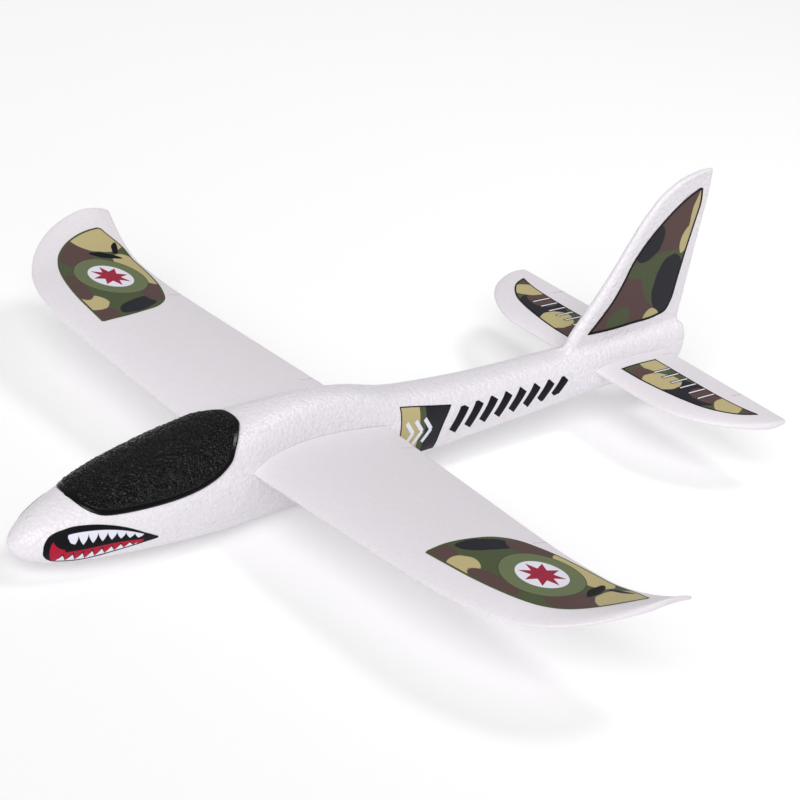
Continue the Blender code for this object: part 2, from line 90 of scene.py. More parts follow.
def add_studio():
    scene = bpy.context.scene
    scene.view_settings.view_transform = "Standard"
    world = bpy.data.worlds.new("studio")
    world.use_nodes = True
    sky = world.node_tree.nodes["Background"]
    sky.inputs["Color"].default_value = (1.0, 1.0, 1.0, 1.0)
    sky.inputs["Strength"].default_value = 0.34
    scene.world = world
    front = add_light("front_light", "SUN", (0.80, -1.10, 1.10), 2.0)
    front.angle = math.radians(45)
    top = add_light("top_light", "AREA", (0.25, 0.60, 1.4), 5.6)
    top.shape = "DISK"
    top.size = 0.5

    half, level = 5.0, -0.0003
    corners = [(x * half, y * half, level) for x, y in ((-1, -1), (1, -1), (1, 1), (-1, 1))]
    mesh = bpy.data.meshes.new("floor")
    mesh.from_pydata(corners, [], [(0, 1, 2, 3)])
    floor = bpy.data.objects.new("floor", mesh)
    scene.collection.objects.link(floor)
    paper = bpy.data.materials.new("pale_paper")
    paper.use_nodes = True
    shader = paper.node_tree.nodes["Principled BSDF"]
    shader.inputs["Base Color"].default_value = (0.82, 0.82, 0.82, 1.0)
    shader.inputs["Roughness"].default_value = 0.9
    shader.inputs["Specular IOR Level"].default_value = 0.1
    shader.inputs["Emission Color"].default_value = (1.0, 1.0, 1.0, 1.0)
    shader.inputs["Emission Strength"].default_value = 0.22
    mesh.materials.append(paper)


# ---------------------------------------------------------------- shader building
class Graph:
    """The nodes of one material. Every method returns the socket that carries its result."""

    def __init__(self, name, roughness):
        self.material = bpy.data.materials.new(name)
        self.material.use_nodes = True
        self.tree = self.material.node_tree
        self.shader = self.tree.nodes["Principled BSDF"]
        self.shader.inputs["Roughness"].default_value = roughness
        place = self.node("ShaderNodeTexCoord").outputs["Object"]
        self.place = self.vector("SCALE", place, scale=1000.0)
        parts = self.node("ShaderNodeSeparateXYZ")
        self.tree.links.new(self.place, parts.inputs[0])
        self.x = self.math("ABSOLUTE", parts.outputs[0])
        self.y = parts.outputs[1]
        self.z = parts.outputs[2]

    def node(self, kind, **settings):
        made = self.tree.nodes.new(kind)
        for key, value in settings.items():
            setattr(made, key, value)
        return made

    def feed(self, socket, value):
        if isinstance(value, bpy.types.NodeSocket):
            self.tree.links.new(value, socket)
        else:
            socket.default_value = value

    def math(self, operation, *values):
        made = self.node("ShaderNodeMath", operation=operation)
        for socket, value in zip(made.inputs, values):
            self.feed(socket, value)
        return made.outputs[0]

    def weighted(self, u, a, v, b):
        """The sum u * a + v * b."""
        return self.math("ADD", self.math("MULTIPLY", u, a), self.math("MULTIPLY", v, b))

    def reach(self, u, v):
        """Distance of a point (u, v) from the origin."""
        return self.math("SQRT", self.weighted(u, u, v, v))

    def vector(self, operation, first, second=None, scale=None):
        made = self.node("ShaderNodeVectorMath", operation=operation)
        self.feed(made.inputs[0], first)
        if second is not None:
            self.feed(made.inputs[1], second)
        if scale is not None:
            made.inputs["Scale"].default_value = scale
        return made.outputs[0]

    def ramp(self, value, low, high):
        """0 below low, 1 above high, smooth between them; low may be above high."""
        made = self.node("ShaderNodeMapRange", interpolation_type="SMOOTHSTEP")
        self.feed(made.inputs["Value"], value)
        made.inputs["From Min"].default_value = low
        made.inputs["From Max"].default_value = high
        return made.outputs[0]

    def mix(self, share, first, second):
        """A colour between two colours; a colour is a socket or three numbers."""
        made = self.node("ShaderNodeMix", data_type="RGBA")
        self.feed(made.inputs[0], share)
        for socket, value in ((made.inputs[6], first), (made.inputs[7], second)):
            self.feed(socket, value if isinstance(value, bpy.types.NodeSocket) else (*value, 1.0))
        return made.outputs[2]

    def noise(self, cell, detail=2.0, place=None):
        """Noise whose lumps are about one cell apart, in millimetres."""
        made = self.node("ShaderNodeTexNoise")
        self.feed(made.inputs["Vector"], place or self.place)
        made.inputs["Scale"].default_value = 1.0 / cell
        made.inputs["Detail"].default_value = detail
        return made

    def cells(self, cell, feature="DISTANCE_TO_EDGE", place=None):
        made = self.node("ShaderNodeTexVoronoi", feature=feature)
        self.feed(made.inputs["Vector"], place or self.place)
        made.inputs["Scale"].default_value = 1.0 / cell
        return made

    def attribute(self, name):
        return self.node("ShaderNodeAttribute", attribute_name=name).outputs["Fac"]

    def bump(self, height, distance):
        """Raises the surface by a height of 0 to 1 times the distance in millimetres."""
        made = self.node("ShaderNodeBump")
        made.inputs["Strength"].default_value = 1.0
        made.inputs["Distance"].default_value = distance * MM
        self.feed(made.inputs["Height"], height)
        self.tree.links.new(made.outputs[0], self.shader.inputs["Normal"])

    def colour(self, socket):
        self.tree.links.new(socket, self.shader.inputs["Base Color"])


def srgb(red, green, blue):
    """A colour written as on a colour card, 0 to 255, as linear light."""
    channels = []
    for value in (red, green, blue):
        share = value / 255
        channels.append(share / 12.92 if share <= 0.04045 else ((share + 0.055) / 1.055) ** 2.4)
    return tuple(channels)


def foam_material(name, base, seam, painted_sparkle_tone, depth, cell, roughness, flat_share):
    """Moulded bead foam: rounded cells, painted shade that darkens the seams between them, and fine
    grain.

    The bead tone is painted sparkle: how dark the darkest bead is against the base colour, as
    if some beads caught the light and others lay in shade. The flat_share is how strongly the
    cells stand out on level skins, against rounded edges.
    """
    g = Graph(name, roughness)
    drift = g.noise(9.0).outputs["Color"]
    place = g.vector("ADD", g.place, g.vector("SCALE", drift, scale=1.6))
    beads = g.cells(cell, "F1", place)
    reach = beads.outputs["Distance"]
    dome = g.math("SUBTRACT", 1.0, g.math("MULTIPLY", g.math("MULTIPLY", reach, reach), 1.6))
    chance = g.node("ShaderNodeSeparateColor")
    g.tree.links.new(beads.outputs["Color"], chance.inputs[0])
    # Painted sparkle: some beads a little darker than others at random, as if lit and shaded.
    body = g.mix(chance.outputs[0], [c * painted_sparkle_tone for c in base], base)
    # Painted shade: the second colour darkens the seams between the beads, in their grooves.
    g.colour(g.mix(g.ramp(reach, 0.80, 0.45), seam, body))
    facing = g.node("ShaderNodeSeparateXYZ")
    g.tree.links.new(g.node("ShaderNodeTexCoord").outputs["Normal"], facing.inputs[0])
    rounded = g.ramp(g.math("ABSOLUTE", facing.outputs[2]), 0.975, 0.80)
    share = g.math("ADD", flat_share, g.math("MULTIPLY", rounded, 1.0 - flat_share))
    grain = g.noise(0.55, 2.0).outputs["Fac"]
    soft = g.noise(5.0, 2.0).outputs["Fac"]
    height = g.math("ADD", g.math("MULTIPLY", dome, share), g.math("MULTIPLY", grain, 0.15))
    height = g.math("ADD", height, g.math("MULTIPLY", soft, 0.5))
    g.bump(height, depth)
    g.shader.inputs["Specular IOR Level"].default_value = 0.45
    return g.material


def black_foam_material():
    """Crinkled black foam: lumpy cells inside the smooth rim of the canopy."""
    g = Graph("black_crinkled_foam", 0.20)
    inside = g.ramp(g.attribute("rim"), 2.6, 3.4)
    drift = g.noise(4.0).outputs["Color"]
    place = g.vector("ADD", g.place, g.vector("SCALE", drift, scale=1.6))
    edge = g.cells(2.3, place=place).outputs["Distance"]
    fine = g.cells(1.3, place=place).outputs["Distance"]
    lumps = g.math("ADD", g.ramp(edge, 0.0, 0.42), g.math("MULTIPLY", g.ramp(fine, 0.0, 0.3), 0.22))
    grain = g.math("MULTIPLY", g.noise(1.2, 2.0).outputs["Fac"], 0.15)
    height = g.math("ADD", g.math("MULTIPLY", lumps, inside), grain)
    g.bump(height, 0.60)
    tone = g.noise(6.0, 3.0).outputs["Fac"]
    g.colour(g.mix(tone, (0.0005, 0.0005, 0.0007), (0.002, 0.002, 0.0024)))
    g.shader.inputs["Specular IOR Level"].default_value = 0.24
    return g.material


def steel_material():
    """Zinc-plated steel, dull, with a faint turned grain."""
    g = Graph("plated_steel", 0.34)
    g.shader.inputs["Metallic"].default_value = 1.0
    tone = g.noise(3.0, 4.0).outputs["Fac"]
    g.colour(g.mix(tone, (0.48, 0.49, 0.51), (0.60, 0.61, 0.63)))
    g.bump(g.noise(0.5, 2.0).outputs["Fac"], 0.02)
    return g.material


NAVY = srgb(40, 40, 47)
BROWN = srgb(90, 70, 68)
GREEN = srgb(78, 87, 62)
KHAKI = srgb(186, 173, 127)
RING_GREEN = srgb(106, 115, 84)
RED = srgb(156, 42, 64)
INK = srgb(20, 20, 24)
PRINT_WHITE = srgb(226, 226, 238)
EDGE = 0.22               # width of the soft edge between two printed colours


class Print(Graph):
    """A printed film. Its picture lies in a plane (u, v), in millimetres."""

    def __init__(self, name, plane, paper, wander=1.6):
        super().__init__(name, 0.44)
        self.shader.inputs["Specular IOR Level"].default_value = 0.07
        self.u, self.v = (getattr(self, axis) for axis in plane)
        self.clean = (self.u, self.v)
        mirrored = self.node("ShaderNodeCombineXYZ")
        for socket, value in zip(mirrored.inputs, (self.x, self.y, self.z)):
            self.tree.links.new(value, socket)
        drift = self.node("ShaderNodeSeparateColor")
        self.tree.links.new(self.noise(11.0, 1.0, mirrored.outputs[0]).outputs["Color"], drift.inputs[0])
        self.bent = tuple(
            self.math("ADD", axis, self.math("MULTIPLY", self.math("SUBTRACT", part, 0.5), 2 * wander))
            for axis, part in zip(self.clean, (drift.outputs[0], drift.outputs[1])))
        self.picture = self.mix(self.noise(7.0, 2.0).outputs["Fac"], [c * 0.96 for c in paper], paper)

    def paint(self, mask, ink):
        self.picture = self.mix(mask, self.picture, ink)

    def overlap(self, first, *others):
        """The mask that is set where every one of the masks is."""
        for mask in others:
            first = self.math("MULTIPLY", first, mask)
        return first

    def centred(self, centre, bent=False):
        u, v = self.bent if bent else self.clean
        return self.math("SUBTRACT", u, centre[0]), self.math("SUBTRACT", v, centre[1])

    def blob(self, centre, half, turn, ink):
        """An oval patch with a wandering outline, turned by an angle in degrees."""
        u, v = self.centred(centre, bent=True)
        c, s = math.cos(math.radians(turn)), math.sin(math.radians(turn))
        along = self.weighted(u, c / half[0], v, s / half[0])
        across = self.weighted(u, -s / half[1], v, c / half[1])
        soft = EDGE / min(half)
        self.paint(self.ramp(self.reach(along, across), 1 + soft, 1 - soft), ink)

    def disc(self, centre, radius, ink):
        reach = self.reach(*self.centred(centre))
        self.paint(self.ramp(reach, radius + EDGE / 2, radius - EDGE / 2), ink)

    def star(self, centre, outer, inner, points, ink):
        """An even star with straight edges."""
        u, v = self.centred(centre)
        angle = self.math("PINGPONG", self.math("ARCTAN2", v, u), math.pi / points)
        tip = Vector((outer, 0.0))
        hollow = Vector((math.cos(math.pi / points), math.sin(math.pi / points))) * inner
        edge = (hollow - tip).normalized()
        normal = Vector((edge.y, -edge.x))
        depth = self.weighted(self.math("COSINE", angle), normal.x,
                              self.math("SINE", angle), normal.y)
        depth = self.math("SUBTRACT", normal.dot(tip),
                          self.math("MULTIPLY", self.reach(u, v), depth))
        self.paint(self.ramp(depth, -EDGE / 2, EDGE / 2), ink)

    def bar(self, start, end, width, ink):
        """A straight bar between two points."""
        run = Vector(end) - Vector(start)
        length = run.length
        run.normalize()
        u, v = self.centred(start)
        along = self.weighted(u, run.x, v, run.y)
        across = self.math("ABSOLUTE", self.weighted(v, run.x, u, -run.y))
        self.paint(self.overlap(self.ramp(across, width / 2 + EDGE / 2, width / 2 - EDGE / 2),
                                self.ramp(along, -EDGE, 0.0),
                                self.ramp(along, length + EDGE, length)), ink)

    def border(self, width, ink):
        self.paint(self.ramp(self.attribute("rim"), width + EDGE / 2, width - EDGE / 2), ink)

    def finished(self):
        self.colour(self.picture)
        beads = self.ramp(self.cells(2.7).outputs["Distance"], 0.0, 0.3)
        height = self.math("ADD", beads, self.math("MULTIPLY", self.noise(6.0).outputs["Fac"], 1.5))
        self.bump(height, 0.035)
        return self.material


def wing_print():
    p = Print("wing_camouflage_print", "xy", GREEN)
    p.blob((140, -88), (8, 7.5), 0, BROWN)
    p.blob((154, -86), (8.5, 7.8), 15, KHAKI)
    p.blob((145, -62), (5.5, 18), -20, NAVY)
    p.blob((158, -43), (14, 8), 30, BROWN)
    p.blob((173, -85), (15, 6.5), 10, BROWN)
    p.blob((185, -34), (20, 11), -3, KHAKI)
    p.blob((208, -62), (17, 9.5), 56, BROWN)
    p.blob((225, -40), (18, 21), -14, KHAKI)
    p.blob((203.5, -45), (2.6, 10), 18, INK)
    p.blob((210, -34), (6.5, 2.0), 40, INK)
    ring = (179.4, -58)
    p.disc(ring, 22.0, srgb(62, 72, 50))
    p.disc(ring, 21.5, RING_GREEN)
    p.disc(ring, 13.5, PRINT_WHITE)
    p.star(ring, 12.0, 6.0, 8, RED)
    p.border(1.2, srgb(72, 84, 56))
    return p.finished()


def tailplane_print():
    p = Print("tailplane_camouflage_print", "xy", GREEN)
    p.blob((26, 192), (9, 10), 10, KHAKI)
    p.blob((33, 177), (8.5, 7.5), 20, BROWN)
    p.blob((61, 184), (17, 14), 10, NAVY)
    p.blob((44, 179), (10, 12), -15, KHAKI)
    p.blob((69, 191), (10, 9), 20, BROWN)
    p.blob((84, 193), (8, 11), 25, KHAKI)
    p.blob((98, 203), (8, 6), 20, BROWN)
    for place in (34.0, 41.0, 48.0, 55.0, 62.0, 69.0):
        p.bar((place, 182.6), (place, 199.0), 2.4, INK)
        p.bar((place, 183.3), (place, 199.0), 1.0, PRINT_WHITE)
    p.border(1.1, INK)
    return p.finished()


def fin_print():
    p = Print("fin_camouflage_print", "yz", BROWN)
    p.blob((203, 98), (27, 6.5), 6, GREEN)
    p.blob((200, 84), (17, 5.5), -58, GREEN)
    p.blob((192.5, 112), (13, 10), 40, NAVY)
    p.blob((217, 82), (13, 20), 6, NAVY)
    p.blob((228.5, 129), (15, 2.6), 82, KHAKI)
    p.blob((225, 110), (9, 4.4), 78, KHAKI)
    p.blob((177, 65), (10.5, 7.5), 20, GREEN)
    p.blob((207.5, 62), (7.5, 5.6), 0, KHAKI)
    p.border(1.7, INK)
    return p.finished()


def panel_print():
    p = Print("panel_print", "yz", NAVY, wander=0.5)
    for rear, ink in ((17.0, GREEN), (12.4, KHAKI)):
        p.paint(p.ramp(p.u, rear + EDGE, rear), ink)
    for start in (2.6, 9.4, 16.2):
        for height in (26.0, 40.0):
            p.bar((start, height), (start + 5.4, 33.0), 2.5, PRINT_WHITE)
    p.border(0.7, INK)
    return p.finished()


def stripe_print():
    p = Print("stripe_print", "yz", srgb(230, 225, 233), wander=0.1)
    for k in range(8):
        rear = 47.5 + 11.7 * k
        p.bar((rear, 41.2 + 0.05 * k), (rear - 8.0, 27.4 + 0.65 * k), 6.6, INK)
    return p.finished()


def mouth_print():
    """A grinning mouth: a white upper row of plain teeth over a red lip that turns up in front."""
    p = Print("mouth_print", "yz", INK, wander=0.1)
    along = p.u
    across = p.attribute("across")
    soft = EDGE / 18
    lip_top, lip_foot, pitch = 0.60, 0.935, 4.8

    def zigzag(shift):
        """0 to 1 and back along the mouth, once for each tooth."""
        turn = p.math("PINGPONG", p.math("ADD", along, shift), pitch / 2)
        return p.math("DIVIDE", turn, pitch / 2)

    inner = p.ramp(across, lip_foot + soft, lip_foot - soft)
    red = srgb(172, 30, 56)
    p.paint(p.overlap(p.ramp(across, lip_top - soft, lip_top + soft), inner,
                      p.ramp(along, -223.4, -222.8), p.ramp(along, -178.0, -178.8)), red)
    p.blob((-222.2, 17.9), (3.6, 6.3), 6, red)
    p.blob((-216.0, 24.5), (8.4, 5.9), 0, INK)

    row_end = p.ramp(along, -178.6, -179.4)
    u, v = p.centred((-214.6, 25.2))
    front = p.math("MAXIMUM", p.ramp(p.reach(u, v), 3.2, 3.0), p.ramp(u, 0.0, 0.2))
    upper_tips = p.math("ADD", 0.18, p.math("MULTIPLY", p.math("POWER", zigzag(212.7), 0.55), 0.28))
    above = p.math("SUBTRACT", upper_tips, across)
    p.paint(p.overlap(p.ramp(above, -soft, soft), p.ramp(across, 0.13, 0.15), front, row_end),
            PRINT_WHITE)

    tooth = p.math("SUBTRACT", 1.0, zigzag(214.5))
    for rise, ink in ((0.30, INK), (0.22, PRINT_WHITE)):
        tips = p.math("SUBTRACT", lip_foot, p.math("MULTIPLY", tooth, rise))
        p.paint(p.overlap(p.ramp(p.math("SUBTRACT", across, tips), -soft, soft), inner,
                          p.ramp(along, -221.6, -221.0), p.ramp(along, -181.4, -182.0)), ink)
    p.border(0.9, INK)
    return p.finished()


# ---------------------------------------------------------------- mesh building
def loft(rings):
    """Points and faces of a closed skin over rings of equal length."""
    count = len(rings[0])
    verts = [point for ring in rings for point in ring]
    faces = []
    for r in range(len(rings) - 1):
        for k in range(count):
            nxt = (k + 1) % count
            faces.append((r * count + k, r * count + nxt,
                          (r + 1) * count + nxt, (r + 1) * count + k))
    last = (len(rings) - 1) * count
    faces.append(tuple(range(count))[::-1])
    faces.append(tuple(range(last, last + count)))
    return verts, faces


def mirror_x(points):
    return [(-x, y, z) for x, y, z in points]


def mesh_object(name, verts, faces):
    """A mesh object from points in millimetres, with its faces turned outwards."""
    mesh = bpy.data.meshes.new(name)
    mesh.from_pydata((np.array(verts) * MM).tolist(), [], faces)
    work = bmesh.new()
    work.from_mesh(mesh)
    bmesh.ops.recalc_face_normals(work, faces=work.faces)
    work.to_mesh(mesh)
    work.free()
    made = bpy.data.objects.new(name, mesh)
    bpy.context.scene.collection.objects.link(made)
    return made


def apply_boolean(target, tool, operation):
    change = target.modifiers.new(operation, "BOOLEAN")
    change.operation = operation
    change.object = tool
    change.solver = "EXACT"
    graph = bpy.context.evaluated_depsgraph_get()
    result = bpy.data.meshes.new_from_object(target.evaluated_get(graph))
    target.modifiers.clear()
    target.data = result
    bpy.data.objects.remove(tool, do_unlink=True)


def finish_piece(made, finish, sharp=35):
    made.data.materials.clear()
    made.data.materials.append(finish)
    made.data.shade_smooth()
    made.data.set_sharp_from_angle(angle=math.radians(sharp))


# ---------------------------------------------------------------- shapes shared with part.py
SPAN = 480.0
LENGTH = 480.0
NOSE_Y = -LENGTH / 2
TAIL_Y = LENGTH / 2
SEAM = 0.12               # gap that the eye sees between two fitted pieces

# Fuselage stations: distance from the nose, half width, top, bottom, squareness.
HULL_STATIONS = (
    (0, 0.0, 18.0, 18.0, 2.1),
    (9, 11.0, 28.5, 8.5, 2.1),
    (21, 16.5, 35.0, 5.5, 2.1),
    (41, 22.0, 42.0, 3.6, 2.2),
    (81, 28.0, 51.8, 2.6, 2.3),
    (121, 27.0, 59.0, 0.8, 2.4),
    (151, 21.0, 62.9, -0.9, 2.5),
    (181, 17.5, 64.0, -0.6, 2.6),
    (211, 16.8, 61.0, 4.0, 2.6),
    (241, 16.3, 54.3, 8.6, 2.6),
    (271, 16.0, 51.5, 11.6, 2.6),
    (311, 15.0, 49.9, 15.1, 2.6),
    (351, 14.0, 50.3, 18.1, 2.6),
    (391, 13.4, 51.0, 21.4, 2.6),
    (431, 12.4, 51.8, 23.8, 2.6),
    (480, 9.5, 54.6, 27.6, 2.6),
)
TAIL_ROUND = 5.0          # radius of the fuselage's rear end
FIN_BASE_Z = 44.0
FIN_TIP_Z = 153.5
# The fin's edges as (z, y).
FIN_LEADING = ((44, 135), (62, 143.5), (73.5, 152), (93.5, 165.5), (113.3, 176.7),
               (131.3, 188.3), (144, 201.8), (150.8, 217.3), (153.5, 231))
FIN_TRAILING = ((44, 236), (57.5, 235.5), (82.5, 236), (113.5, 237), (139.5, 238), (153.5, 237))
FIN_THICKNESS = (8.0, 4.0)
# The wing's trailing edge as (x, y), and thicknesses as (x, thickness).
WING_TE = ((0, -11), (100, -21), (140, -24.8), (165, -26.6), (180, -26.6), (199, -25.2),
           (213, -22.8), (240, -18.5))
WING_THICKNESS = ((0, 9.0), (120, 7.5), (200, 5.5), (240, 3.4))
FLAP_INNER, FLAP_OUTER, FLAP_CHORD = 42.0, 152.0, 11.0
REAR_EDGE = 2.0           # thickness of the blunt rear edges
DROOP_SHARE = 0.38        # share of the chord over which a front edge droops
TAIL_SPAN = 221.0
TAIL_THICKNESS = ((0, 6.4), (70, 5.4), (110.5, 3.4))
ELEVATOR_INNER, ELEVATOR_OUTER, ELEVATOR_CHORD = 17.5, 75.0, 10.0
# The canopy's lower edge as (y, z).
CANOPY_EDGE = ((-213, 43.5), (-209.2, 38.6), (-204, 35.6), (-196, 34.3), (-176, 36), (-153.5, 38.8),
               (-138, 42.8), (-126.6, 48.2), (-121, 53), (-115.7, 56.9), (-112.4, 58.8),
               (-110.3, 59.8), (-109, 60.9), (-108.4, 63), (-108, 67))
BALLAST_Y, BALLAST_BORE, BALLAST_FLOOR = -203.0, 6.8, 8.7

# Two edges of each film: (y, z) on the fuselage and the fin, (x, y) on wing and tailplane.
MOUTH_UPPER = ((-228.6, 17.6), (-228.5, 21.2), (-226.8, 24.6), (-217.6, 29.4), (-206, 30.9),
               (-194.8, 29.7), (-186.6, 27.4), (-178.3, 23.7), (-170, 19.8))
MOUTH_LOWER = ((-228.4, 16.2), (-227, 14.2), (-224, 12), (-216.6, 10.4), (-208.7, 10.3),
               (-201.3, 11.8), (-193, 14), (-184, 16.1), (-170, 18.8))
PANEL_FRONT = ((-2, 49.6), (-2, 42), (-1.8, 30), (-1.6, 18.2))
PANEL_REAR = ((36.5, 43.8), (32, 36), (29.5, 28), (28.5, 18.2))
STRIPE_TOP = ((40, 41.2), (72, 42.4), (104, 42.9), (136, 42.4))
STRIPE_BOTTOM = ((35, 25.4), (66, 26.8), (98, 28.2), (127, 32.4))
FIN_FILM_FRONT = ((152, 60.4), (160, 68.8), (169, 79.8), (174.5, 90), (179.7, 102), (187, 112.2),
                  (197, 122.6), (208, 131.8), (219, 138.8), (228, 142.6))
FIN_FILM_REAR = ((154.5, 60), (172, 59.6), (192, 60.2), (213, 61.3), (221.5, 63.8), (224.6, 70),
                 (226, 82), (228.2, 103), (230.6, 120), (232.2, 134), (230.6, 142))
WING_FILM_FRONT = ((135.6, -94.6), (150, -93.2), (164, -91.6), (178, -88.8), (190, -85.2),
                   (201, -80.2), (210, -74), (217, -65.5), (222, -55.5), (225.5, -44), (227, -35.5))
WING_FILM_REAR = ((134.8, -93), (134.6, -80), (136.5, -65.5), (140.7, -51), (147, -42.6),
                  (157, -36.8), (168, -32.6), (182, -29.8), (198, -28.2), (212, -26.9), (226, -33))
TAIL_FILM_FRONT = ((21, 168.4), (38, 168.8), (52, 170.6), (66, 173.6), (78, 178), (87, 184.4),
                   (94, 192.5), (98.4, 202.6))
TAIL_FILM_REAR = ((21, 198.4), (35, 198.3), (49, 198.3), (62, 198.4), (75, 199), (85, 200.2),
                  (92, 201.8), (98.2, 203.8))


def smooth_curve(points):
    """A function through the points: cubic pieces whose slopes match at each point."""
    xs = np.array([p[0] for p in points], float)
    ys = np.array([p[1] for p in points], float)
    chord = np.diff(ys) / np.diff(xs)
    slope = np.empty_like(ys)
    slope[0], slope[-1] = chord[0], chord[-1]
    width = np.diff(xs)
    slope[1:-1] = (chord[:-1] * width[1:] + chord[1:] * width[:-1]) / (width[1:] + width[:-1])

    def value(x):
        i = int(np.clip(np.searchsorted(xs, x) - 1, 0, len(xs) - 2))
        h = xs[i + 1] - xs[i]
        t = (x - xs[i]) / h
        return float((1 + 2 * t) * (1 - t) ** 2 * ys[i] + t * (1 - t) ** 2 * h * slope[i]
                     + t * t * (3 - 2 * t) * ys[i + 1] + t * t * (t - 1) * h * slope[i + 1])

    return value


HALF_WIDTH = smooth_curve([(math.sqrt(s[0]), s[1]) for s in HULL_STATIONS])
MIDDLE = smooth_curve([(math.sqrt(s[0]), (s[2] + s[3]) / 2) for s in HULL_STATIONS])
HALF_HEIGHT = smooth_curve([(math.sqrt(s[0]), (s[2] - s[3]) / 2) for s in HULL_STATIONS])
SQUARENESS = smooth_curve([(math.sqrt(s[0]), s[4]) for s in HULL_STATIONS])


def hull_section(y):
    root = math.sqrt(max(y - NOSE_Y, 0.0))
    return HALF_WIDTH(root), HALF_HEIGHT(root), MIDDLE(root), SQUARENESS(root)


def hull_ring(y, angles):
    """Points of the fuselage skin: angle 0 is port, 90 degrees is the top."""
    a, b, middle, power = hull_section(y)
    into_round = max(y - (TAIL_Y - TAIL_ROUND), 0.0)
    grow = math.sqrt(max(TAIL_ROUND ** 2 - into_round ** 2, 0.0)) - TAIL_ROUND
    ring = []
    for angle in angles:
        c, s = math.cos(angle), math.sin(angle)
        x = math.copysign((a + grow) * abs(c) ** (2 / power), c)
        z = middle + math.copysign((b + grow) * abs(s) ** (2 / power), s)
        ring.append((x, y, max(z, 0.0)))
    return ring


def hull_normals(y, angles):
    """Outward directions of the fuselage skin at the points of a ring."""
    step, turn = 0.05, 0.004
    along = np.array(hull_ring(y + step, angles)) - np.array(hull_ring(y - step, angles))
    across = (np.array(hull_ring(y, [angle + turn for angle in angles]))
              - np.array(hull_ring(y, [angle - turn for angle in angles])))
    normal = np.cross(along, across)
    return normal / np.linalg.norm(normal, axis=1)[:, None]


def hull_height(x, y):
    """Height of the top skin of the fuselage."""
    a, b, middle, power = hull_section(y)
    share = min(abs(x) / a, 1.0)
    return middle + b * (1 - share ** power) ** (1 / power)


FIN_FRONT = smooth_curve([(height, y) for height, y in FIN_LEADING])
FIN_BACK = smooth_curve([(height, y) for height, y in FIN_TRAILING])


def fin_half(height, along):
    share = (height - FIN_BASE_Z) / (FIN_TIP_Z - FIN_BASE_Z)
    thick = FIN_THICKNESS[0] + (FIN_THICKNESS[1] - FIN_THICKNESS[0]) * share
    chord = FIN_BACK(height) - FIN_FRONT(height)
    front = math.sin(math.sqrt(min(1.0, along * chord / (0.9 * thick))) * math.pi / 2)
    return (thick / 2) * front * (1 - 0.55 * along ** 1.5)


class Plate:
    """A thin lifting surface: its planform and its two skins, symmetric about x = 0.

    The droop lowers its front edge and the drop its rear edge. Its thickness follows the
    curve of the four-digit aerofoils, with a blunt rear edge.
    """

    def __init__(self, half_span, leading, trailing, top, thickness, droop, drop):
        self.half_span = half_span
        self.leading = leading
        self.trailing = trailing
        self.top = top
        self.thickness = thickness
        self.droop = droop
        self.drop = drop

    def skins(self, x, y):
        """Heights of the upper and the lower skin above a point of the planform."""
        x = min(abs(x), self.half_span)
        front, back = self.leading(x), self.trailing(x)
        share = min(max((y - front) / (back - front), 0.0), 1.0)
        thick = self.thickness(x)
        te = min(REAR_EDGE, 0.6 * thick)
        half = thick * (1.4845 * math.sqrt(share) - 0.63 * share - 1.758 * share ** 2
                        + 1.4215 * share ** 3 - 0.5075 * share ** 4) + te / 2 * share
        mid = -(thick / 2) * (1 - share) - te / 2 * share
        mid -= self.droop * (1 - min(share / DROOP_SHARE, 1.0)) ** 2
        mid -= self.drop * share ** 3
        level = self.top(x) + mid
        return level + half, level - half

    def section(self, x, steps, thin=1.0, grow=0.0):
        """A closed loop round the section at x, with a round trailing edge."""
        front, back = self.leading(x), self.trailing(x)
        high, low = self.skins(x, back)
        radius = (high - low) / 2
        places = [(front + (back - radius - front) * (1 - math.cos(math.pi * k / steps)) / 2, 1.0)
                  for k in range(1, steps + 1)]
        for k in range(1, 5):
            angle = math.pi / 2 * k / 5
            places.append((back - radius + radius * math.sin(angle), math.cos(angle)))
        upper, lower = [], []
        for y, share in places:
            high, low = self.skins(x, y)
            middle, half = (high + low) / 2, (high - low) / 2 * share * thin + grow
            upper.append((x, y, middle + half))
            lower.append((x, y, middle - half))
        nose = sum(self.skins(x, front)) / 2
        tail = sum(self.skins(x, back)) / 2
        return [(x, front - grow, nose)] + upper + [(x, back + grow, tail)] + lower[::-1]


def superellipse_sweep(x, start, end, depth, power):
    share = min(max((x - start) / (end - start), 0.0), 1.0)
    return depth * (1 - math.sqrt(max(1 - share ** power, 0.0)))


def make_wing_plate():
    trailing = smooth_curve(WING_TE)
    corner = 1.5              # radius at the tip

    def leading(x):
        return -111.5 + 0.012 * x + superellipse_sweep(x, 130.0, SPAN / 2 + 0.4, depth=75.0,
                                                       power=2.8)

    def rounded_trailing(x):
        return trailing(x) - superellipse_sweep(x, SPAN / 2 - corner, SPAN / 2, corner, 2.0)

    def top(x):
        root, dihedral, bend = 45.3, 0.040, 12.0
        curl_start, curl_rise = 195.0, 13.0
        curl = max(0.0, (x - curl_start) / (SPAN / 2 - curl_start)) ** 2
        return root + dihedral * (math.hypot(x, bend) - bend) + curl_rise * curl

    return Plate(SPAN / 2, leading, rounded_trailing, top, smooth_curve(WING_THICKNESS),
                 droop=1.5, drop=3.5)


def make_tail_plate():
    corner = 3.0
    top = 42.6

    def leading(x):
        return 156.0 + superellipse_sweep(x, 58.0, TAIL_SPAN / 2 + 0.3, depth=56.0, power=1.6)

    def trailing(x):
        return 218.0 - 0.012 * x - superellipse_sweep(x, TAIL_SPAN / 2 - corner, TAIL_SPAN / 2,
                                                      corner, 2.0)

    return Plate(TAIL_SPAN / 2, leading, trailing, lambda x: top,
                 smooth_curve(TAIL_THICKNESS), droop=0.0, drop=0.0)


WING = make_wing_plate()
TAILPLANE = make_tail_plate()


# ---------------------------------------------------------------- fuselage
FILLET = 3.6              # radius where the fin grows out of the fuselage


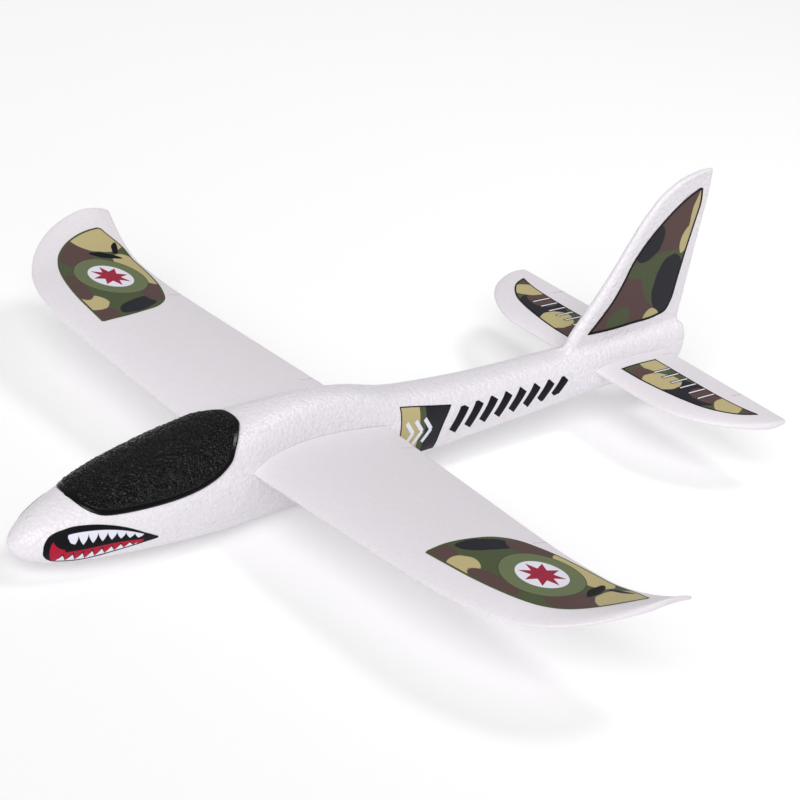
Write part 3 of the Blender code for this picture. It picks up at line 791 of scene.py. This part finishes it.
def fin_width(height, y, bare):
    """Half the fin's thickness with the fillet at its foot added."""
    if height > hull_height(0.0, y) + FILLET:
        return bare
    low, high = bare, bare + FILLET
    for _ in range(14):
        x = (low + high) / 2
        rise = min(max(height - hull_height(x, y) + 0.25, 0.0), FILLET)
        reach = bare + FILLET - math.sqrt(FILLET ** 2 - (FILLET - rise) ** 2)
        if x < reach:
            low = x
        else:
            high = x
    return (low + high) / 2


def fin_rings():
    """Level loops of the fin, closer together at its foot, with rounded tip and rear edge."""
    rings = []
    foot_top, lip, rear = 64.0, 1.6, 0.9
    levels = [FIN_BASE_Z + (foot_top - FIN_BASE_Z) * k / 40 for k in range(40)]
    levels += [foot_top + (FIN_TIP_Z - lip - foot_top) * k / 60 for k in range(61)]
    levels += [FIN_TIP_Z - lip + lip * math.sin(math.pi / 2 * k / 6) for k in range(1, 6)]
    for z in levels:
        front, back = FIN_FRONT(z), FIN_BACK(z)
        foot = min(max(hull_height(0.0, front) + FILLET - z, 0.0), FILLET)
        front -= FILLET - math.sqrt(FILLET ** 2 - foot ** 2)
        into_tip = max(z - (FIN_TIP_Z - lip), 0.0) / lip
        thin = math.sqrt(max(1 - into_tip ** 2, 0.0))
        port = []
        for k in range(1, 44):
            y = front + (back - rear - front) * (k / 43) ** 1.6
            bare = fin_half(z, max((y - FIN_FRONT(z)) / (back - FIN_FRONT(z)), 0.004)) * thin
            port.append((fin_width(z, y, bare), y, z))
        for k in range(1, 6):
            angle = math.pi / 2 * k / 6
            y = back - rear + rear * math.sin(angle)
            port.append((fin_width(z, y, fin_half(z, 1.0) * thin * math.cos(angle)), y, z))
        rings.append([(0.0, front, z)] + port + [(0.0, back, z)] + mirror_x(port)[::-1])
    return rings


def smooth_outline(points, steps):
    """An open curve through the points: Catmull-Rom pieces."""
    padded = [points[0], *points, points[-1]]
    curve = []
    for i in range(1, len(padded) - 2):
        p0, p1, p2, p3 = (np.array(padded[i + j], float) for j in (-1, 0, 1, 2))
        for k in range(steps):
            t = k / steps
            curve.append(tuple(0.5 * (2 * p1 + (p2 - p0) * t + (2 * p0 - 5 * p1 + 4 * p2 - p3) * t * t
                                      + (3 * p1 - p0 - 3 * p2 + p3) * t ** 3)))
    curve.append(tuple(np.array(points[-1], float)))
    return curve


EDGE_LINE = smooth_outline(CANOPY_EDGE, 12)


def canopy_block():
    """The block cut out for the canopy, a seam larger than the canopy itself."""
    line = np.array(EDGE_LINE)
    run = np.gradient(line, axis=0)
    outward = np.stack([run[:, 1], -run[:, 0]], axis=1)
    outward /= np.linalg.norm(outward, axis=1)[:, None]
    line = [tuple(point) for point in line + outward * SEAM]
    outline = line + [(line[-1][0], 90.0), (line[0][0] - 40.0, 90.0), (line[0][0] - 40.0, 58.0)]
    return loft([[(x, y, z) for y, z in outline] for x in (-60.0, 60.0)])


def slot_block(plate, reach):
    rings = []
    for x in (-reach, -reach / 2, 0, reach / 2, reach):
        rings.append([(x, y, z) for _, y, z in plate.section(abs(x), 40, grow=SEAM)])
    return loft(rings)


def build_fuselage(finish):
    angles = [TURN * k / 120 for k in range(120)]
    places = [NOSE_Y + r * r for r in np.linspace(math.sqrt(0.05), math.sqrt(20.0), 26)]
    places += list(np.linspace(NOSE_Y + 22.4, TAIL_Y - TAIL_ROUND, 190))
    places += [TAIL_Y - TAIL_ROUND * (1 - math.sin(math.pi / 2 * k / 9)) for k in range(1, 9)]
    hull = mesh_object("fuselage_foam", *loft([hull_ring(y, angles) for y in places]))
    apply_boolean(hull, mesh_object("fin_blank", *loft(fin_rings())), "UNION")
    bore = [[(BALLAST_BORE * math.cos(a), BALLAST_Y + BALLAST_BORE * math.sin(a), z)
             for a in np.linspace(0, TURN, 48, endpoint=False)] for z in (BALLAST_FLOOR, 60.0)]
    for name, block in (("wing_slot", slot_block(WING, 45.0)),
                        ("tail_slot", slot_block(TAILPLANE, 30.0)),
                        ("canopy_recess", canopy_block()), ("ballast_bore", loft(bore))):
        apply_boolean(hull, mesh_object(name, *block), "DIFFERENCE")
    finish_piece(hull, finish)
    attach(hull, "root")
    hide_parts("fuselage")


# ---------------------------------------------------------------- wing, tailplane, tabs
GROOVE_SLOPE = math.tan(math.radians(34))   # of the V under each scored line
END_GAP = 0.5             # between a tab's end and the plate
NOTCH_MARGIN = 12.0       # how far a tab's notch reaches past the plate


class Tab:
    """A trim tab at the trailing edge of a plate, bending on its scored line."""

    def __init__(self, plate, inner, outer, chord):
        self.plate = plate
        self.inner = self.axis_point(inner, chord)
        self.outer = self.axis_point(outer, chord)
        self.chord = chord
        run = self.outer - self.inner
        self.length = run.length
        self.along = run.normalized()
        self.aft = Vector((-run.y, run.x, 0)).normalized()

    def axis_point(self, x, chord):
        y = self.plate.trailing(x) - chord
        return Vector((x, y, self.plate.skins(x, y)[0]))

    def skin_points(self, s, c):
        at = self.inner + self.along * s + self.aft * c
        high, low = self.plate.skins(at.x, at.y)
        return Vector((at.x, at.y, high)), Vector((at.x, at.y, low))

    def notch(self):
        rings = []
        for s in (0.0, self.length):
            at = self.inner + self.along * s
            front = at - self.aft * SEAM
            back = at + self.aft * (self.chord + NOTCH_MARGIN)
            top, bottom = at.z + NOTCH_MARGIN, at.z - NOTCH_MARGIN
            corners = ((front, top), (back, top), (back, bottom), (front, bottom))
            rings.append([(point.x, point.y, height) for point, height in corners])
        return loft(rings)

    def solid(self):
        """Rings of the tab, with the V groove under the scored line and a round back."""
        rings = []
        steps = 60
        for k in range(steps + 1):
            s = END_GAP + (self.length - 2 * END_GAP) * k / steps
            at = self.inner + self.along * s
            back = self.plate.trailing(at.x) - at.y - 0.1
            high, low = self.skin_points(s, back)
            radius = (high.z - low.z) / 2
            upper = [self.skin_points(s, SEAM + (back - radius - SEAM) * j / 12)[0] for j in range(13)]
            top_front, low_front = self.skin_points(s, SEAM)
            lean = SEAM + (top_front.z - low_front.z) * GROOVE_SLOPE
            lower = [self.skin_points(s, lean + (back - radius - lean) * j / 9)[1] for j in range(10)]
            rounding = []
            for j in range(1, 10):
                angle = math.pi * j / 10
                c = back - radius + radius * math.sin(angle)
                top, bottom = self.skin_points(s, c)
                middle = (top + bottom) / 2
                middle.z += (top.z - bottom.z) / 2 * math.cos(angle)
                rounding.append(middle)
            rings.append([tuple(p) for p in upper + rounding + lower[::-1]])
        return rings

    def web(self):
        """The thin skin of foam left above the groove, which bends."""
        rings = []
        reach, depth, sink, steps = 0.7, 0.36, 0.03, 60
        end = 0.55
        for k in range(steps + 1):
            s = end + (self.length - 2 * end) * k / steps
            offsets = [reach * (2 * j / 12 - 1) for j in range(13)]
            upper = [self.skin_points(s, c)[0] - Vector((0, 0, sink)) for c in offsets]
            lower = [self.skin_points(s, c)[0] - Vector((0, 0, sink + depth)) for c in offsets]
            rings.append([tuple(p) for p in upper + lower[::-1]])
        return rings


def build_plate(name, plate, stations, tab, tab_name, steps, finish):
    """A wing or a tailplane with its two tabs and their bending skins."""
    lip = plate.thickness(plate.half_span) / 2
    rings = [plate.section(x, steps) for x in stations]
    for k in range(1, 7):
        angle = math.pi / 2 * k / 6.6
        rings.append(plate.section(plate.half_span - lip + lip * math.sin(angle), steps,
                                   thin=math.cos(angle)))
    mirrored = [mirror_x(ring) for ring in rings[1:]][::-1]
    body = mesh_object(name + "_foam", *loft(mirrored + rings))
    verts, faces = tab.notch()
    apply_boolean(body, mesh_object("left_notch", verts, faces), "DIFFERENCE")
    apply_boolean(body, mesh_object("right_notch", mirror_x(verts), faces), "DIFFERENCE")
    finish_piece(body, finish)
    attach(body, "root")
    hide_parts(name)
    for side, sign in (("left_", 1), ("right_", -1)):
        verts, faces = loft(tab.solid())
        flap = mesh_object(side + tab_name + "_foam", verts if sign > 0 else mirror_x(verts), faces)
        finish_piece(flap, finish)
        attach(flap, side + tab_name)
        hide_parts(side + tab_name)
        verts, faces = loft(tab.web())
        web = mesh_object(side + tab_name + "_web", verts if sign > 0 else mirror_x(verts), faces)
        finish_piece(web, finish)
        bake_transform(web)


# ---------------------------------------------------------------- canopy
def edge_height(y):
    """Height of the canopy's lower edge."""
    return float(np.interp(y, [p[0] for p in EDGE_LINE], [p[1] for p in EDGE_LINE]))


def edge_angle(y):
    """The section angle at which the canopy's edge lies on the hull."""
    _, b, middle, power = hull_section(y)
    share = min(max((edge_height(y) - middle) / b, -1.0), 1.0)
    return math.asin(math.copysign(abs(share) ** (power / 2), share))


def crossing(front, rear):
    """Where the canopy's edge line crosses the top of the hull, found by halving."""
    low, high = front, rear
    for _ in range(40):
        y = (low + high) / 2
        if edge_height(y) > hull_height(0.0, y):
            low = y
        else:
            high = y
    return (low + high) / 2


def build_canopy(finish):
    """A rounded, smooth rim, and beads in relief inside it; proudest at the rear top."""
    low_proud, more_proud, edge_round, rim_width = 0.7, 1.6, 1.1, 2.6
    bead, small_bead, lump = 2.9, 1.6, 11.0
    front, rear = crossing(-213.0, -200.0), crossing(-108.0, -112.0)
    rows, columns = 230, 150
    places = [front + (rear - front) * (1 - math.cos(math.pi * (k + 0.15) / (rows - 0.7))) / 2
              for k in range(rows)]
    outer, normals = [], []
    for y in places:
        start = min(edge_angle(y), math.pi / 2 - 0.002)
        angles = [start + (math.pi - 2 * start) * j / (columns - 1) for j in range(columns)]
        outer.append(hull_ring(y, angles))
        normals.append(hull_normals(y, angles))
    skin = np.array(outer)
    boundary = np.concatenate([skin[:, 0], skin[:, -1], skin[0], skin[-1]])
    flat = skin.reshape(-1, 3)
    normal = np.array(normals).reshape(-1, 3)
    rim = np.array([np.sqrt(((boundary - p) ** 2).sum(axis=1).min()) for p in flat])
    lift = []
    for point, upward, distance in zip(flat, normal[:, 2], rim):
        aft = min(max((point[1] + 165.0) / 45.0, 0.0), 1.0)
        proud = low_proud + more_proud * aft * max(upward, 0.0)
        round_edge = min(distance / edge_round, 1.0)
        height = proud * math.sqrt(1 - (1 - round_edge) ** 2)
        inside = min(max((distance - rim_width) / 0.5, 0.0), 1.0)
        if inside > 0:
            near, _ = noise.voronoi(Vector(point) / bead)
            dome = min((near[1] - near[0]) / 0.5, 1.0)
            near, _ = noise.voronoi(Vector(point) / small_bead)
            small = min((near[1] - near[0]) / 0.5, 1.0)
            swell = noise.noise(Vector(point) / lump)
            height += inside * (0.05 + 0.42 * math.sin(dome * math.pi / 2)
                                + 0.20 * math.sin(small * math.pi / 2) + 0.15 * swell)
        lift.append(height)
    moved = flat + normal * np.array(lift)[:, None]
    rings = []
    for r in range(rows):
        row = moved[r * columns:(r + 1) * columns]
        under = [row[-1] + (row[0] - row[-1]) * j / 6 for j in range(1, 6)]
        rings.append([tuple(p) for p in row] + [tuple(p) for p in under])
    canopy = mesh_object("canopy_foam", *loft(rings))
    values = np.zeros(len(canopy.data.vertices), np.float32)
    ring_length = columns + 5
    for r in range(rows):
        values[r * ring_length:r * ring_length + columns] = rim[r * columns:(r + 1) * columns]
    attribute = canopy.data.attributes.new("rim", "FLOAT", "POINT")
    attribute.data.foreach_set("value", values)
    finish_piece(canopy, finish, sharp=75)
    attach(canopy, "root")
    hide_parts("canopy")


# ---------------------------------------------------------------- printed films
def path_through(points):
    """A curve in a plane through the points, as a function of the share of its length."""
    places = np.array(points, float)
    run = np.concatenate([[0.0], np.cumsum(np.linalg.norm(np.diff(places, axis=0), axis=1))])
    first = smooth_curve(list(zip(run / run[-1], places[:, 0])))
    second = smooth_curve(list(zip(run / run[-1], places[:, 1])))
    return lambda share: np.array((first(share), second(share)))


def hull_side(y, z):
    a, b, middle, power = hull_section(y)
    share = min(abs(z - middle) / b, 0.999)
    return Vector((a * (1 - share ** power) ** (1 / power), y, z))


def fin_side(y, z):
    front, back = FIN_FRONT(z), FIN_BACK(z)
    return Vector((fin_half(z, (y - front) / (back - front)), y, z))


def wing_top(x, y):
    return Vector((x, y, WING.skins(x, y)[0]))


def tailplane_top(x, y):
    return Vector((x, y, TAILPLANE.skins(x, y)[0]))


def film_faces(along, across):
    """Faces of the closed sheet whose points are the inner grid and then the outer one."""
    count = along * across
    faces = []
    for i in range(along - 1):
        for j in range(across - 1):
            corner = (i * across + j, i * across + j + 1,
                      (i + 1) * across + j + 1, (i + 1) * across + j)
            faces.append(corner[::-1])
            faces.append(tuple(count + k for k in corner))
    rim = list(range(across))
    rim += [i * across + across - 1 for i in range(1, along)]
    rim += [(along - 1) * across + j for j in range(across - 2, -1, -1)]
    rim += [i * across for i in range(along - 2, 0, -1)]
    for k, here in enumerate(rim):
        after = rim[(k + 1) % len(rim)]
        faces.append((here, after, count + after, count + here))
    return faces, rim


def build_film_pair(name, skin, edges, grid, outward, finish):
    """The film on the port side and its mirror image on the starboard side."""
    along, across = grid
    lift, thick, reach = 0.10, 0.12, 0.2
    edge_a, edge_b = path_through(edges[0]), path_through(edges[1])
    inner, outer, shares = [], [], []
    for i in range(along):
        start, end = edge_a(i / (along - 1)), edge_b(i / (along - 1))
        for j in range(across):
            p, q = start + (end - start) * j / (across - 1)
            here = skin(p, q)
            normal = (skin(p + reach, q) - here).cross(skin(p, q + reach) - here).normalized()
            if normal.dot(Vector(outward)) < 0:
                normal.negate()
            inner.append(here + normal * lift)
            outer.append(here + normal * (lift + thick))
            shares.append(j / (across - 1))
    faces, rim = film_faces(along, across)
    line = np.array([tuple(outer[k]) for k in rim])
    inset = [math.sqrt(((line - np.array(tuple(p))) ** 2).sum(axis=1).min()) for p in outer]
    points = [tuple(p) for p in inner + outer]
    for side, place in (("left_", points), ("right_", mirror_x(points))):
        film = mesh_object(side + name + "_sheet", place, faces)
        for key, values in (("rim", inset + inset), ("across", shares + shares)):
            attribute = film.data.attributes.new(key, "FLOAT", "POINT")
            attribute.data.foreach_set("value", np.array(values, np.float32))
        finish_piece(film, finish)
        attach(film, "root")
        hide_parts(side + name)


def build_films():
    side, up = (1, 0, 0), (0, 0, 1)
    build_film_pair("mouth_film", hull_side, (MOUTH_UPPER, MOUTH_LOWER), (90, 34), side,
                    mouth_print())
    build_film_pair("boom_panel_film", hull_side, (PANEL_FRONT, PANEL_REAR), (50, 50), side,
                    panel_print())
    build_film_pair("boom_stripe_film", hull_side, (STRIPE_TOP, STRIPE_BOTTOM), (110, 24), side,
                    stripe_print())
    build_film_pair("fin_film", fin_side, (FIN_FILM_FRONT, FIN_FILM_REAR), (110, 60), side,
                    fin_print())
    build_film_pair("wing_film", wing_top, (WING_FILM_FRONT, WING_FILM_REAR), (120, 70), up,
                    wing_print())
    build_film_pair("tailplane_film", tailplane_top, (TAIL_FILM_FRONT, TAIL_FILM_REAR), (90, 36), up,
                    tailplane_print())


# ---------------------------------------------------------------- build
def main():
    add_camera()
    add_studio()
    # In both foams the second colour is painted shade in the seams between the beads, and the bead tone
    # is painted sparkle.
    hull_foam = foam_material("hull_bead_foam", (0.825, 0.79, 0.84), (0.79, 0.753, 0.80),
                              painted_sparkle_tone=0.93, depth=0.23, cell=2.0, roughness=0.32,
                              flat_share=0.8)
    wing_foam = foam_material("wing_bead_foam", (0.79, 0.75, 0.79), (0.77, 0.73, 0.77),
                              painted_sparkle_tone=0.975, depth=0.12, cell=2.2, roughness=0.42,
                              flat_share=0.3)
    build_fuselage(hull_foam)
    wing_stations = list(np.linspace(0, 196, 90)) + list(np.linspace(198, 238, 36))
    build_plate("wing", WING, wing_stations, Tab(WING, FLAP_INNER, FLAP_OUTER, FLAP_CHORD),
                "flap", 44, wing_foam)
    tail_stations = list(np.linspace(0, 80, 40)) + list(np.linspace(81, 108.5, 32))
    build_plate("tailplane", TAILPLANE, tail_stations,
                Tab(TAILPLANE, ELEVATOR_INNER, ELEVATOR_OUTER, ELEVATOR_CHORD),
                "elevator", 36, wing_foam)
    build_canopy(black_foam_material())
    build_films()
    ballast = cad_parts["nose_ballast"]
    ballast.data.materials.clear()
    ballast.data.materials.append(steel_material())


main()
